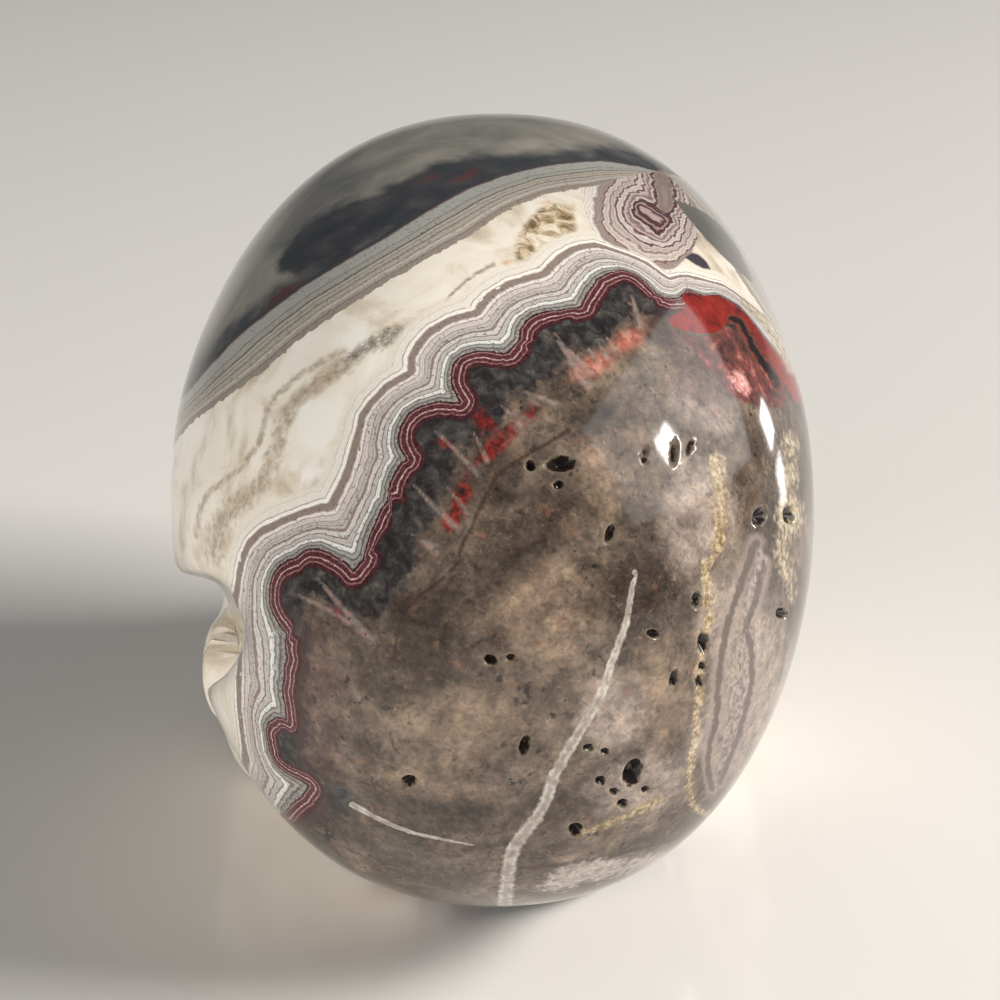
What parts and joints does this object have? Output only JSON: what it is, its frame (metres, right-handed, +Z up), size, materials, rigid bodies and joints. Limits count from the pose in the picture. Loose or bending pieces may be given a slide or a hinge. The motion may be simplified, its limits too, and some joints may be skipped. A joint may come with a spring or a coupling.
{
  "type": "agate skull carving",
  "caption": "Polished crazy lace agate carving of a human skull, solid banded stone that stands on its flat base.",
  "frame": {"origin": "centre of the carving's bounding box, at the height of its flat base", "axes": "+Z up, the skull's face towards -Y, the skull's own left side at +X"},
  "size_m": [0.0536, 0.076, 0.06],
  "materials": {
    "agate": "polished"
  },
  "bodies": {
    "root": {"agate_skull": "agate"}
  },
  "joints": []
}
